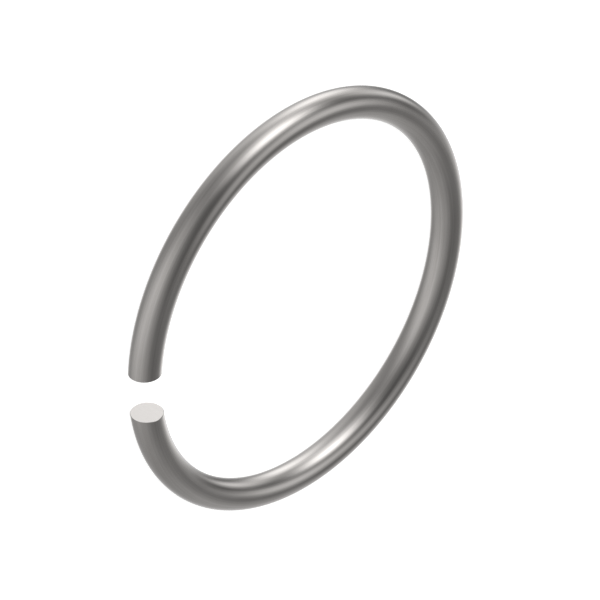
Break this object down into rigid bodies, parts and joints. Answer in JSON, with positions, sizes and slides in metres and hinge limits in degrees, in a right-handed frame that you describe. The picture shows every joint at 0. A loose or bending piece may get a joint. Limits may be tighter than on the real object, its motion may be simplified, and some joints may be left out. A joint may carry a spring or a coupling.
{
  "type": "circlip retaining ring",
  "caption": "Open ring of round spring-steel wire with a parallel-sided gap, snapped into a half-round shaft groove to hold parts along the shaft.",
  "frame": {"origin": "the ring's centre, at the mid-height of the wire", "axes": "+Z along the ring's axis, which is the shaft's axis; the gap faces -Y; +X across the gap"},
  "size_m": [0.0276, 0.0276, 0.002],
  "materials": {
    "spring_steel": "bright drawn wire, satin"
  },
  "bodies": {
    "root": {"retaining_ring": "spring_steel"}
  },
  "joints": []
}
